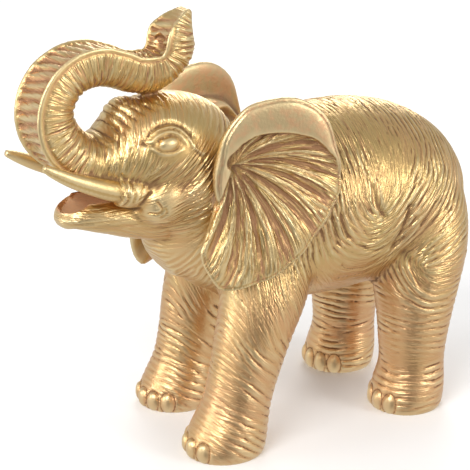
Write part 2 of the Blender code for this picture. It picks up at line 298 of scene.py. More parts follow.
# Trunk and jaw. The trunk runs up from the face, curls back and rests on the forehead, with its tip
# held up. Its outer side is a flat channel between two rims; the jaw hangs open under the mouth.
TRUNK = (
    (-48, 111, 15, 10.5),
    (-58, 111, 13, 9.4),
    (-67, 114.6, 12, 9.6),
    (-73.6, 122, 11.2, 9.8),
    (-75.4, 131, 10.6, 9.3),
    (-72.2, 139.2, 10, 9.1),
    (-65.6, 144.4, 9.3, 8.7),
    (-57.5, 145.9, 8.7, 8.4),
    (-50, 144.2, 8.2, 7.8),
    (-43, 141.4, 7.8, 7.6),
    (-36, 140.5, 7.5, 7.9),
    (-30.6, 142.2, 7.8, 7.2),
    (-26.8, 146.8, 8.2, 7.8),
    (-25.6, 152.2, 8.2, 7.6),
    (-23.2, 156.6, 5.8, 5.2),
    (-20, 160.8, 2.6, 1.7),
)
# Shares of the trunk's depth and width.
TRUNK_OUTSIDE = (0.1, 0.7)
TRUNK_FLAT = 0.88
CHANNEL_DEPTH = 0.16
CHANNEL_EDGE = (0.62, 0.86)
RIM_SPREAD = 0.12


def trunk_section(wide, high):
    """The trunk's outer face is a flat channel between two rims; its other side is round."""
    outside = smoothstep(*TRUNK_OUTSIDE, high)
    channel = CHANNEL_DEPTH * (1 - smoothstep(*CHANNEL_EDGE, np.abs(wide)))
    deep = high * (1 - outside) + (TRUNK_FLAT - channel) * outside
    return wide * (1 + RIM_SPREAD * outside), deep


def jaw_section(wide, high):
    """The jaw is a trough: its sides stand up to a rim above its middle."""
    up = smoothstep(0, 1, high)
    return wide * (1 - up) + np.sign(wide) * np.abs(wide) ** JAW_RIM * up, high


mid_loft(clay, TRUNK, trunk_section)
mid_loft(clay, JAW, jaw_section)

# Tusks and tail. The tusks are smooth horns that leave the lip in a collar and spread as they rise;
# the tail hangs close against the rump, as it must to come out of the mould.
TUSK_COLLAR = ((-42, 12, 101.4, 5), (-50, 12.6, 101.6, 5.4), (-55.5, 13.2, 102.8, 4.9))
TUSK = (
    (-50, 12.6, 101.8, 3.9),
    (-58, 13.6, 103.8, 3.7),
    (-66, 14.6, 107, 3.2),
    (-74, 15.2, 110.7, 2.7),
    (-80.4, 15.6, 114.2, 2),
    (-84.4, 15.8, 116.6, 1.2),
)
TUSK_DROP = {LEFT: 0.0, RIGHT: 2.6}
TAIL = (
    (82, 0, 100, 3.6),
    (88.5, 0, 92, 3.4),
    (92.6, 0, 82, 3),
    (93, 0, 71, 2.7),
    (90.4, 0, 61, 2.6),
    (87, 0, 53, 3.4),
    (84.6, 0, 46, 2.4),
    (83.6, 0, 42, 1),
)


def tusk_rows(side):
    """One tusk's stations, the right one falling away towards its point."""
    drop = np.linspace(0, TUSK_DROP[side], len(TUSK))
    return [(x, y, z - fall, radius) for (x, y, z, radius), fall in zip(TUSK, drop)]


round_loft(clay, TAIL, LEFT)
for side in (LEFT, RIGHT):
    round_loft(clay, TUSK_COLLAR, side)
    round_loft(clay, tusk_rows(side), side)

# Ears. Each is a fan that stands out from its root on the head, in radiating pleats, with a smooth
# band folded over along its top. The right one is a little larger and hangs lower.
EAR_ROOT = (-18.0, 26.0, 110.4)
# Angle about the root in degrees, reach to the rim.
EAR_EDGE = (
    (-113, 33),
    (-106, 39.5),
    (-98, 45),
    (-88, 44.5),
    (-74, 43.5),
    (-60, 43),
    (-40, 42),
    (-24, 42.4),
    (-14, 42.4),
    (4, 38.8),
    (24, 37.2),
    (42, 32.6),
    (58, 26.4),
    (74, 21.6),
    (90, 15.8),
    (112, 10.5),
    (138, 7),
    (175, 6.2),
    (210, 8),
    (232, 11),
    (246, 14),
)
EAR_SIZE = {LEFT: 1.0, RIGHT: 1.045}
EAR_DROP = {LEFT: 0.0, RIGHT: 1.4}
EAR_LOBE = {LEFT: 1.0, RIGHT: 1.12}
EAR_REACH = 41.0
EAR_THICKNESS = 3.6
EAR_FLARE = 10.2
EAR_CUP = 0.6
# Between these angles the fan stands away from the head, and less so towards its top.
EAR_LEAVES = (-115, -70)
EAR_RETURNS = (120, 150)
EAR_TOP = (10, 75)
EAR_TOP_CALM = 0.55
EAR_ROOT_FLARE = 0.35
EAR_FOLDS_FROM = (2, 10)
EAR_FOLDS = 21
EAR_FOLD_DEPTH = 1.1
EAR_FOLDS_FADE = (0.7, 1.0)
EAR_FOLDS_AT_RIM = 0.5
EAR_FOLD_CREST = 0.7
EAR_ROOT_FILL = 1.6
EAR_TWIST = 19.0
EAR_UNEVEN = 0.7
EAR_UNEVEN_TURNS = 5
EAR_SLICES = 420
EAR_STEPS = 70
EAR_RIM_ROUND = 10
EAR_RIM_HALF = 0.001
# The smooth band along the ear's top: angle and the reach at which it starts.
EAR_BAND = (
    (-14, 41),
    (-4, 38),
    (4, 34),
    (13, 30),
    (20, 25.5),
    (34, 18),
    (50, 12.5),
    (66, 8),
    (100, 4),
    (250, 1),
)
EAR_BAND_FROM = (-12, 0)
EAR_BAND_LIFT = 2.4
EAR_BAND_STEP = (-0.4, 0.6)
EAR_BAND_ROUND = 0.5
EAR_BAND_GAP = (-1.5, 0.5)


def ear_turn(angle, share):
    """The angle that a pleat leaves the root at, in radians; pleats bend down on their way out."""
    return np.radians(angle + EAR_TWIST * share)


def ear_folds(angle, share):
    """The fan's pleats as a wave, 1 on a crest and -1 in a valley, unevenly spaced."""
    turn = ear_turn(angle, share)
    return np.cos(EAR_FOLDS * turn + EAR_UNEVEN * np.sin(EAR_UNEVEN_TURNS * turn))


def ear_height(angle, reach, edge):
    """How far the ear's outer face stands out from its root plane."""
    share = reach / EAR_REACH
    spread = smoothstep(*EAR_LEAVES, angle) * (1 - smoothstep(*EAR_RETURNS, angle))
    spread = spread * (1 - EAR_TOP_CALM * smoothstep(*EAR_TOP, angle))
    cup = EAR_CUP * np.sin(math.pi * np.minimum(share, 1)) * spread
    flare = EAR_FLARE * share * (EAR_ROOT_FLARE + (1 - EAR_ROOT_FLARE) * spread) - cup
    band = read_curve(EAR_BAND, angle)
    in_band = smoothstep(*EAR_BAND_FROM, angle)
    across_band = np.clip((reach - band) / np.maximum(edge - band, 1), 0, 1)
    roll = EAR_BAND_LIFT * smoothstep(*EAR_BAND_STEP, reach - band) * (1 - EAR_BAND_ROUND * across_band**2)
    pleats = np.abs(ear_folds(angle, share) * 0.5 + 0.5) ** EAR_FOLD_CREST * 2 - 1
    folded = smoothstep(*EAR_FOLDS_FROM, reach) * (1 - in_band * smoothstep(*EAR_BAND_GAP, reach - band))
    folded = folded * (1 - EAR_FOLDS_AT_RIM * smoothstep(*EAR_FOLDS_FADE, reach / edge))
    roll = np.maximum(roll, EAR_ROOT_FILL * (1 - smoothstep(*EAR_FOLDS_FROM, reach)))
    return flare + in_band * roll + EAR_FOLD_DEPTH * pleats * folded


def ear(bm, side):
    """The fan of the ear: slices from its root, each a thin closed outline with a rounded rim."""
    angles = np.linspace(EAR_EDGE[0][0], EAR_EDGE[-1][0], EAR_SLICES)
    edges = read_curve(EAR_EDGE, angles)
    shares = np.linspace(0.0, 1.0, EAR_STEPS)
    reach = np.outer(edges, shares)
    middle = EAR_ROOT[1] + ear_height(angles[:, None], reach, edges[:, None]) - EAR_THICKNESS / 2
    x = EAR_ROOT[0] + EAR_SIZE[side] * reach * np.cos(np.radians(angles))[:, None]
    rise = EAR_SIZE[side] * reach * np.sin(np.radians(angles))[:, None]
    z = EAR_ROOT[2] + np.maximum(rise, 0) + np.minimum(rise, 0) * EAR_LOBE[side] - EAR_DROP[side]
    half = EAR_THICKNESS / 2 * np.sqrt(1 - shares**EAR_RIM_ROUND) + EAR_RIM_HALF
    outer = np.stack([x, side * (middle + half), z], 2)
    inner = np.stack([x, side * (middle - half), z], 2)
    skin_rings(bm, np.concatenate([outer, inner[:, ::-1]], 1))


for side in (LEFT, RIGHT):
    ear(clay, side)

# Eyes and lids. An almond ball under a brow, with an upper lid in two folds and one fold below it.
# Each fold is a roll of clay: its radius, then X and Z from the eye's middle.
EYE = (-38.4, 118.8)
EYE_RADII = (4.1, 2, 2.6)
EYE_SINK = 0.2
UPPER_LID = (
    0.7,
    ((-6.4, 0), (-4.2, 2.2), (-1.7, 3.4), (1.3, 3.9), (4, 2.9), (5.6, 0.9), (6.8, -1.6)),
)
BROW_FOLD = (
    0.65,
    (
        (-7.4, 1.8),
        (-4.4, 3.7),
        (-1.7, 4.9),
        (1.5, 5.4),
        (4.4, 4.5),
        (6.6, 2.2),
        (8.2, -0.4),
        (9.8, -3.2),
        (12, -4.4),
        (14.4, -4.2),
    ),
)
LOWER_LID = (0.7, ((-6.2, -0.2), (-4.8, -1.9), (-3, -3), (0, -3.4), (3, -2.8), (5.4, -1.4)))
FOLD_TAPER = 0.15
CLEAR_OF_SKIN = 100


def skin_y(body, side, x, z):
    """Where a line along Y, from outside on one side, meets the body's skin."""
    hit, point, _, _ = body.ray_cast((x, side * CLEAR_OF_SKIN, z), (0, -side, 0))
    return point.y if hit else 0.0


def eye(bm, body, side):
    """The eyeball and the folds round it, laid on the skin of the head."""
    x, z = EYE
    ball(bm, (x, skin_y(body, side, x, z) - side * EYE_SINK, z), EYE_RADII)
    for radius, fold in (UPPER_LID, BROW_FOLD, LOWER_LID):
        rows = smooth_rows([(x + dx, z + dz) for dx, dz in fold])
        centres = np.array([(px, skin_y(body, side, px, pz), pz) for px, pz in rows])
        taper = np.sqrt(np.sin(np.linspace(FOLD_TAPER, math.pi - FOLD_TAPER, len(rows))))
        loft(bm, centres, radius * taper, radius * taper)


for side in (LEFT, RIGHT):
    eye(clay, body, side)

# Toenails. Four arched nails stand round the front of each foot, modelled as lumps part sunk in the
# skin and cast with it.
NAIL_TURNS = (-50, -24, 2, 28)
NAIL_HEIGHT = 3.8
NAIL_RADII = (1.5, 2.5, 3.6)
NAIL_SINK = 1.15
NAIL_ROW = -3


def nail_places(side, stations):
    """Centre and turn of each nail of one foot."""
    x, y, z, long_way, wide_way = stations[NAIL_ROW]
    along, apart = STRIDE[stations, side]
    for turn in NAIL_TURNS:
        angle = math.radians(180 - turn * side)
        reach_x = (long_way - NAIL_SINK) * math.cos(angle)
        reach_y = (wide_way - NAIL_SINK) * math.sin(angle)
        yield (x + along + reach_x, side * (y + apart) + reach_y, NAIL_HEIGHT), math.degrees(angle)


for stations, side in STRIDE:
    for centre, turn in nail_places(side, stations):
        ball(clay, centre, NAIL_RADII, turn)

# The casting. All the forms are made one closed skin, as in the mould, then the mouth, the lower lip
# and the nostril are pressed in. The skin is a fine even net, so that lines can be carved into it.
SKIN_GRAIN = 0.5
SKIN_BLEND = 0.5
MOUTH = ((-58, 0, 100.2), (13.2, 8.6, 6))
LIP = ((-67, 0, 99), (8, 7.8, 5.4))
NOSTRIL = ((-36.6, 0, 150), (7.6, 4.4, 5.4))

casting = object_of(clay, "elephant_casting")
bpy.data.objects.remove(body)
one_skin(casting, SKIN_GRAIN, SKIN_BLEND)
mesh = casting.data
points = np.empty(len(mesh.vertices) * 3)
mesh.vertices.foreach_get("co", points)
points = points.reshape(-1, 3)
for centre, radii in (MOUTH, NOSTRIL):
    away = (points - centre) / radii
    length = np.linalg.norm(away, axis=1)
    inside = (length < 1) & (length > WELD)
    points[inside] = centre + away[inside] / length[inside, None] * radii
away = (points - LIP[0]) / LIP[1]
inside = np.linalg.norm(away, axis=1) < 1
floor_of_lip = LIP[0][2] - LIP[1][2] * np.sqrt(1 - away[inside, 0] ** 2 - away[inside, 1] ** 2)
points[inside, 2] = np.minimum(points[inside, 2], floor_of_lip)

corners = np.empty(len(mesh.loops), int)
mesh.loops.foreach_get("vertex_index", corners)
corners = corners.reshape(-1, 4)
pairs = np.concatenate([corners[:, (i, j)] for i, j in ((0, 1), (1, 2), (2, 3), (3, 0), (0, 2), (1, 3))])
pairs = np.unique(np.sort(pairs, axis=1), axis=0)
pairs = np.concatenate([pairs, pairs[:, ::-1]])
pairs = pairs[np.argsort(pairs[:, 0], kind="stable")]
here, there = pairs.T
first_pair = np.searchsorted(here, np.arange(len(points)))


def gather(values):
    """The sum over each point's neighbours of one value for each pair."""
    return np.add.reduceat(values, first_pair, axis=0)


def normals_of(points):
    """The skin's normal at each point, from the faces round it."""
    first, second, third, fourth = (points[corners[:, i]] for i in range(4))
    faces = np.cross(third - first, fourth - second)
    found = np.zeros_like(points)
    for i in range(4):
        for axis in range(3):
            found[:, axis] += np.bincount(corners[:, i], faces[:, axis], len(points))
    return found / np.linalg.norm(found, axis=1)[:, None]


def distance_to(curve, radii, among):
    """Each point's nearest row of a curve, and how far it lies outside that row's radius."""
    nearest = np.zeros(len(points), int)
    least = np.full(len(points), np.inf)
    chosen = np.flatnonzero(among)
    spots = points[chosen]
    for i, (centre, radius) in enumerate(zip(curve, radii)):
        gap = np.sqrt(((spots - centre) ** 2).sum(axis=1)) - radius
        closer = gap < least[chosen]
        nearest[chosen[closer]] = i
        least[chosen[closer]] = gap[closer]
    return nearest, least


def cut(depths):
    """Cuts the skin inwards, by a depth in millimetres for each point."""
    points[:] = points - normals * depths[:, None]


def line_where(measure, middle, width):
    """1 on a line where a measure has its middle value, falling off over the width."""
    return np.exp(-(((measure - middle) / width) ** 2))


def in_oval(middle, radii, fade):
    """1 inside an oval seen from the side, fading to 0 between two shares of its radii."""
    return 1 - smoothstep(*fade, np.hypot((x - middle[0]) / radii[0], (z - middle[1]) / radii[1]))


normals = normals_of(points)
sides = np.where(points[:, 1] < 0, LEFT, RIGHT)
x, y, z = points.T.copy()
outside = normals[:, 1] * sides

# Where each part of the skin lies: along and round the trunk, over the ears, the tusks, the toenails
# and the eyes. Each is a share from 0 to 1 or a yes or no for every point of the skin.
TRUNK_BEFORE, TRUNK_ABOVE = -8, 96
TRUNK_FROM = (10, 22)
TRUNK_SKIN = 4.0
trunk_rows = smooth_rows(TRUNK)
trunk_line = np.stack([trunk_rows[:, 0], np.zeros(len(trunk_rows)), trunk_rows[:, 1]], 1)
trunk_radii = (trunk_rows[:, 2] + trunk_rows[:, 3]) / 2
near = (x < TRUNK_BEFORE) & (z > TRUNK_ABOVE)
trunk_row, trunk_gap = distance_to(trunk_line, trunk_radii, near)
trunk_way = np.gradient(trunk_line, axis=0)
trunk_way /= np.linalg.norm(trunk_way, axis=1)[:, None]
trunk_run = np.concatenate([[0], np.cumsum(np.linalg.norm(np.diff(trunk_line, axis=0), axis=1))])
from_line = points - trunk_line[trunk_row]
outward = np.cross(trunk_way[trunk_row], (0.0, 1.0, 0.0))
trunk_high = (from_line * outward).sum(axis=1) / trunk_rows[trunk_row, 3]
trunk_wide = np.abs(y) / trunk_rows[trunk_row, 2]
run = trunk_run[trunk_row] + (from_line * trunk_way[trunk_row]).sum(axis=1)
on_trunk = smoothstep(*TRUNK_FROM, run) * (trunk_gap < TRUNK_SKIN)

EAR_SKIN = 1.8
EAR_MARGIN = 1.5
EAR_BACK = 1.0
EAR_INNER = 4.0
ear_size = np.where(sides == LEFT, EAR_SIZE[LEFT], EAR_SIZE[RIGHT])
ear_drop = np.where(sides == LEFT, EAR_DROP[LEFT], EAR_DROP[RIGHT])
ear_x, ear_z = (x - EAR_ROOT[0]) / ear_size, (z + ear_drop - EAR_ROOT[2]) / ear_size
ear_z[(sides == RIGHT) & (ear_z < 0)] /= EAR_LOBE[RIGHT]
ear_reach = np.hypot(ear_x, ear_z)
ear_share = ear_reach / EAR_REACH
ear_angle = np.degrees(np.arctan2(ear_z, ear_x))
ear_angle = np.where(ear_angle < EAR_EDGE[0][0] - 1, ear_angle + 360, ear_angle)
ear_rim = read_curve(EAR_EDGE, ear_angle)
ear_depth = EAR_ROOT[1] + ear_height(ear_angle, ear_reach, ear_rim) - np.abs(y)
on_ear = (ear_reach < ear_rim + EAR_MARGIN) & (ear_angle < EAR_EDGE[-1][0])
on_ear &= (ear_depth < EAR_THICKNESS + EAR_BACK) & (np.abs(y) > EAR_ROOT[1] - EAR_INNER)
ear_front = on_ear & (ear_depth < EAR_SKIN)
ear_behind = on_ear & ~ear_front
from_rim = ear_rim - ear_reach
on_band = ear_front & (ear_angle > EAR_BAND_FROM[0]) & (ear_reach > read_curve(EAR_BAND, ear_angle))

TUSK_SKIN = 0.8
TUSK_LEAVES = -56.0
tusk_gap = np.full(len(points), np.inf)
tusk_high = np.zeros(len(points))
for side in (LEFT, RIGHT):
    rows = smooth_rows(tusk_rows(side))
    near = (x < TUSK_LEAVES) & (y * side > 0)
    row, gap = distance_to(rows[:, :3] * (1, side, 1), rows[:, 3], near)
    tusk_gap = np.minimum(tusk_gap, gap)
    tusk_high += near * (z - rows[row, 2]) / rows[row, 3]
on_tusk = tusk_gap < TUSK_SKIN

NAILS_BELOW = 12
nail_gap = np.full(len(points), np.inf)
low = np.flatnonzero(z < NAILS_BELOW)
for stations, side in STRIDE:
    for centre, turn in nail_places(side, stations):
        spin = math.radians(turn)
        away = points[low] - centre
        along = away[:, 0] * math.cos(spin) + away[:, 1] * math.sin(spin)
        apart = away[:, 1] * math.cos(spin) - away[:, 0] * math.sin(spin)
        form = np.stack([along, apart, away[:, 2]], 1) / NAIL_RADII
        nail_gap[low] = np.minimum(nail_gap[low], np.linalg.norm(form, axis=1))

FACING_SIDE = 0.2
HEAD_BEFORE, HEAD_BEYOND = -24, 12
EYE_CLEAR = ((-37.4, 119.4), (8.2, 6.4), (0.8, 1.15))
MOUTH_MARGIN = 1.05
on_head_side = (np.abs(y) > HEAD_BEYOND) & (outside > FACING_SIDE) & (x < HEAD_BEFORE)
near_eye = on_head_side * in_oval(*EYE_CLEAR)
in_mouth = np.zeros(len(points), bool)
for centre, radii in (MOUTH, LIP):
    in_mouth |= np.linalg.norm((points - centre) / radii, axis=1) < MOUTH_MARGIN

# Wrinkles. The hide was combed into the clay in long wandering ridges with sharp grooves between
# them. Each row gives the way the comb ran, seen from the side: X, Z and its lean in degrees.
COMB = (
    (32, 110, 90),
    (48, 110, 85),
    (53, 112, 83),
    (51, 102, 75),
    (68, 108, 78),
    (74, 100, 86),
    (22, 90, -85),
    (33, 96, 86),
    (20, 108, 88),
    (84, 92, 70),
    (43, 97, 72),
    (53, 98, 62),
    (55, 92, 46),
    (60, 91, 46),
    (57, 78, 50),
    (62, 78, 34),
    (66, 71, 30),
    (75, 72, 30),
    (75, 84, 36),
    (37, 88, -66),
    (40, 84, -18),
    (45, 85, 44),
    (33, 81, -68),
    (36, 77, -15),
    (40, 79, 33),
    (31, 75, -47),
    (36, 72, -11),
    (43, 74, 38),
    (27, 66, -50),
    (33, 63, -5),
    (39, 64, 34),
    (45, 70, 50),
    (15, 75, -75),
    (14, 60, -60),
    (50, 73, 40),
    (59, 68, 36),
    (49, 62, -74),
    (53, 56, -80),
    (58, 56, -78),
    (57, 51, -60),
    (62, 47, -5),
    (67, 58, 3),
    (72, 54, 2),
    (70, 46, -4),
    (56, 45, -20),
    (59, 38, -13),
    (67, 36, -10),
    (58, 32, -4),
    (66, 27, -14),
    (58, 16, -3),
    (68, 12, 0),
    (80, 60, 15),
    (-15, 55, -80),
    (-13, 46, -72),
    (-11, 57, -80),
    (-10, 47, -88),
    (-7, 58, -86),
    (0, 61, -86),
    (2, 51, -50),
    (-17, 45, -66),
    (-14, 39, -40),
    (-15, 34, -32),
    (-12, 30, -48),
    (-19, 29, -28),
    (-14, 25, -31),
    (-21, 21, -28),
    (-26, 15, -38),
    (-15, 14, -26),
    (-17, 9, -28),
    (0, 35, -30),
    (5, 75, -85),
    (-42, 127, 72),
    (-36, 129, 80),
    (-31, 129, 55),
    (-27, 126, 62),
    (-24, 122, 52),
    (-49, 123, 73),
    (-61, 118, 60),
    (-58, 115, 80),
    (-53, 118, 84),
    (-45, 115, 80),
    (-40, 112, 48),
    (-37, 110, 50),
    (-36, 103, 24),
    (-29, 108, 44),
    (-38, 98, 9),
    (-29, 101, 36),
    (-35, 89, 1),
    (-29, 92, 50),
    (-31, 85, 18),
    (-44, 83, -31),
    (-57, 91, -8),
    (-24, 80, 70),
    (-20, 70, 80),
)
COMB_REACH = 6.5
COMB_FAR = 1e-6
double = np.zeros((len(points), 2))
for comb_x, comb_z, lean in COMB:
    apart = ((x - comb_x) ** 2 + (z - comb_z) ** 2) / (2 * COMB_REACH**2)
    weight = np.exp(-apart) + COMB_FAR / (1 + apart)
    double += weight[:, None] * (math.cos(2 * math.radians(lean)), math.sin(2 * math.radians(lean)))
lean = np.arctan2(double[:, 1], double[:, 0]) / 2
pleat_lean = np.radians(ear_angle) - np.arctan(ear_share * math.radians(EAR_TWIST))
lean = np.where(on_ear, pleat_lean, lean)

nx, ny, nz = normals.T
flow = np.stack([ny * np.cos(lean), -(nx * np.cos(lean) + nz * np.sin(lean)), ny * np.sin(lean)], 1)
flow /= np.linalg.norm(flow, axis=1)[:, None] + WELD
rings = np.cross(normals, trunk_way[trunk_row])
rings /= np.linalg.norm(rings, axis=1)[:, None] + WELD
rings *= np.where((rings * flow).sum(axis=1) < 0, -1, 1)[:, None]
flow += on_trunk[:, None] * (rings - flow)
flow /= np.linalg.norm(flow, axis=1)[:, None] + WELD

# How far apart the ridges lie and how deep the grooves are, in millimetres, part by part, each row over
# those before it. The lower flank, the chest and the belly are left nearly smooth.
RIDGE_SPACING = 1.75
GROOVE_DEPTH = 0.3
LEG_TOP = (44, 60)
CHEST_BEFORE, CHEST_TOP, CHEST_FOOT = (-20, -8), (80, 90), (50, 60)
BACK_BEHIND, BACK_ABOVE = (4, 14), (86, 100)
HEAD_FADE = (-26, -14)
JAW_BEFORE, JAW_BELOW = (-45, -37), 100
FACING_DOWN, BELLY_ABOVE = (0.55, 0.9), 30
SHOULDER_OVAL = ((-5, 58), (17, 13), (0.7, 1.2))
SHOULDER_BELOW = 76
FLANK_OVAL = ((27, 62), (20, 11), (0.6, 1.2))
MOUTH_CORNER = ((-46, 99), (10, 7.5), (0.7, 1.2))
TRUNK_SIDE = (-0.1, 0.5)
TRUNK_RIM = (0.5, 0.6)
SOLE_EDGE = (0.4, 2.4)
EAR_EDGE_PLAIN = (1.2, 2.6)
NAIL_PLAIN = 1.35
on_leg = 1 - smoothstep(*LEG_TOP, z)
on_chest = (1 - smoothstep(*CHEST_BEFORE, x)) * (1 - smoothstep(*CHEST_TOP, z)) * smoothstep(*CHEST_FOOT, z)
on_flank = in_oval(*FLANK_OVAL)
near_mouth = in_oval(*MOUTH_CORNER)
PARTS = (
    (smoothstep(*BACK_ABOVE, z) * smoothstep(*BACK_BEHIND, x), 1.75, 0.4),
    (on_leg, 2.4, 0.34),
    (in_oval(*SHOULDER_OVAL) * (z < SHOULDER_BELOW), 2.4, 0.13),
    (on_chest, 1.8, 0.1),
    (on_flank, 2.0, 0.1),
    (1 - smoothstep(*HEAD_FADE, x), 1.55, 0.18),
    (smoothstep(*FACING_DOWN, -nz) * (z > BELLY_ABOVE), 2.1, 0.2),
    ((1 - smoothstep(*JAW_BEFORE, x)) * (z < JAW_BELOW), 1.6, 0.07),
    (near_mouth, 1.6, 0.07),
    (on_trunk, 1.6, 0.1 + 0.3 * (1 - smoothstep(*TRUNK_SIDE, trunk_high))),
    (on_trunk * smoothstep(*TRUNK_RIM, trunk_high), 1.6, 0.0),
    (on_ear, 1.35, 0.42),
    (ear_behind, 2.1, 0.0),
    (on_band, 2.0, 0.0),
    (on_tusk, 2.0, 0.0),
    (nail_gap < NAIL_PLAIN, 2.0, 0.0),
    (in_mouth, 2.0, 0.0),
    (near_eye, 1.6, 0.0),
    (1 - smoothstep(*SOLE_EDGE, z), 2.0, 0.0),
    (on_ear * (1 - smoothstep(*EAR_EDGE_PLAIN, from_rim)), 1.6, 0.0),
)
spacing = np.full(len(points), RIDGE_SPACING)
depth = np.full(len(points), GROOVE_DEPTH)
for where, part_spacing, part_depth in PARTS:
    spacing = spacing + where * (part_spacing - spacing)
    depth = depth + where * (part_depth - depth)

# The ridges grow out of seeded noise: drawn out along the comb's way, then parted across it.
SEED = 7
SHARPNESS = 0.2
COARSEST = 3.4
ROUNDS = 16
ALONG_STEPS = 4
WIDE_STEPS = 4
CONTRAST = 1.3
LAST_STEPS = 2
CREST_SHARE = 85
step_out = points[there] - points[here]
along = (step_out * flow[here]).sum(axis=1)
rise = (step_out * normals[here]).sum(axis=1)
across = np.sqrt(np.maximum((step_out**2).sum(axis=1) - along**2 - rise**2, 0))
along_weights = np.exp(-(across**2) / (2 * SHARPNESS**2)) + WELD
across_weights = np.exp(-(along**2) / (2 * SHARPNESS**2)) + WELD
along_weights /= gather(along_weights)[here]
across_weights /= gather(across_weights)[here]
rate = np.clip(spacing / COARSEST, 0, 1) ** 2


def spread(values):
    """The values after one step of spreading across the comb's way."""
    return values + rate * (gather(across_weights * values[there]) - values)


rng = np.random.default_rng(SEED)
ridge = rng.standard_normal(len(points))
for turn in range(ROUNDS):
    for step in range(ALONG_STEPS):
        ridge = gather(along_weights * ridge[there])
    narrow = spread(ridge)
    wide = narrow
    for step in range(WIDE_STEPS - 1):
        wide = spread(wide)
    ridge = (narrow - wide) / rate
    ridge = np.tanh(CONTRAST * ridge / np.abs(ridge).mean())
for step in range(LAST_STEPS):
    ridge = 0.5 * ridge + 0.5 * gather(along_weights * ridge[there])
ridge = np.clip(ridge / np.percentile(np.abs(ridge), CREST_SHARE), -1, 1)

# Some grooves are cut deeper than others, by a slow noise that is drawn out along the comb. Those of
# the legs and the flank are thinner than the ridges between them.
SLOW_STEPS = 40
SLOW_EVERY = 4
SOFT_SHARE = 0.45
THIN_LINES = 1.8
UNEVEN = 0.45
UNEVEN_LIMITS = (0.1, 2.2)
evens = np.ones(len(there)) / gather(np.ones(len(there)))[here]
rough = rng.standard_normal(len(points))
for step in range(SLOW_STEPS):
    rough = gather(along_weights * rough[there])
    if step % SLOW_EVERY == 0:
        rough = gather(evens * rough[there])
rough /= rough.std()
groove = 1 - np.sqrt((1 + ridge) / 2)
soft_groove = (1 - ridge) / 2
carved = (1 - SOFT_SHARE) * groove + SOFT_SHARE * soft_groove
carved += np.maximum(on_leg, on_flank) * (groove**THIN_LINES - carved)
carved *= np.clip(1 + UNEVEN * rough, *UNEVEN_LIMITS)
cut(carved * depth)

# Channel of the trunk: ribs like a ladder's rungs cross its flat outer side between the two rims,
# and a line runs along each rim. The front of the forehead has thick ridges like rope.
RUNG_SPACING = 2.9
RUNG_DEPTH = 1.2
RUNG_TILT = 0.17
RUNG_WANDER = 0.2
CHANNEL_HIGH, CHANNEL_WIDE, CHANNEL_ENDS = (0.45, 0.62), (0.7, 0.82), (104, 112)
RIM_WIDE = (0.7, 0.9)
RIM_LINE, RIM_LINE_DEPTH = (0.6, 0.08), 0.4
ROPE_SPACING = 3.3
ROPE_DEPTH = 0.9
ROPE_WAY = (0.66, 0.75)
ROPE_WIDE, ROPE_ABOVE, ROPE_BEFORE, ROPE_FACING = (7, 12), (112, 116), -34, 0.2
in_channel = on_trunk * smoothstep(*CHANNEL_HIGH, trunk_high) * (1 - smoothstep(*CHANNEL_WIDE, trunk_wide))
in_channel *= 1 - smoothstep(*CHANNEL_ENDS, run)
rung = 1 - np.abs(np.cos(math.pi * (run + RUNG_TILT * y + RUNG_WANDER * rough) / RUNG_SPACING))
cut(in_channel * RUNG_DEPTH * rung)
cut(on_trunk * smoothstep(*RIM_WIDE, trunk_wide) * line_where(trunk_high, *RIM_LINE) * RIM_LINE_DEPTH)
rope = 1 - np.sqrt(np.abs(np.cos(math.pi * (ROPE_WAY[0] * x + ROPE_WAY[1] * z) / ROPE_SPACING)))
on_rope = (1 - smoothstep(*ROPE_WIDE, np.abs(y))) * (1 - on_trunk) * smoothstep(*ROPE_ABOVE, z)
on_rope *= (x < ROPE_BEFORE) * (normals[:, 0] < ROPE_FACING)
cut(on_rope * ROPE_DEPTH * rope)

# Creases cut by hand: on the face over the brow, at the mouth's corner and round the tusks' roots; on
# the body where the thigh folds against the flank and in bows under the flank. Each has a width and
# depth, then X and Z along it. The hollow behind the tusk has a middle, a radius and a depth.
CREASES = (
    (0.7, 0.8, ((-46.6, 120), (-43, 123.5), (-39.5, 125), (-36, 125.4), (-32.6, 124.2), (-29.6, 120.8))),
    (0.35, 0.5, ((-44.4, 121), (-42, 122.8), (-39.5, 123.5), (-36.6, 123.8), (-33.8, 122.7), (-31.8, 120.6))),
    (0.5, 0.5, ((-47.6, 119.6), (-45.6, 119.2), (-44, 118.9))),
    (0.6, 0.7, ((-45, 102), (-47, 100), (-48.4, 97.8))),
    (0.5, 0.6, ((-43.4, 98.8), (-42.2, 97), (-42, 95.4), (-43.4, 94.4), (-45.6, 94.6))),
    (0.4, 0.4, ((-41, 96.6), (-40.4, 94.8), (-42, 93.2))),
    (0.5, 0.5, ((-54.6, 109.4), (-53.8, 107), (-54.2, 104), (-53.6, 101), (-54.6, 98.6))),
    (0.4, 0.4, ((-51.6, 106.4), (-51, 103), (-51.6, 99.6))),
    (0.4, 0.3, ((-46.6, 105.4), (-48, 103), (-49, 100.6))),
    (0.5, 0.4, ((-29, 115.4), (-26.6, 112.6), (-25.4, 108))),
)
TUSK_HOLLOW = ((-43, 104.6), 2.6, 1.0)
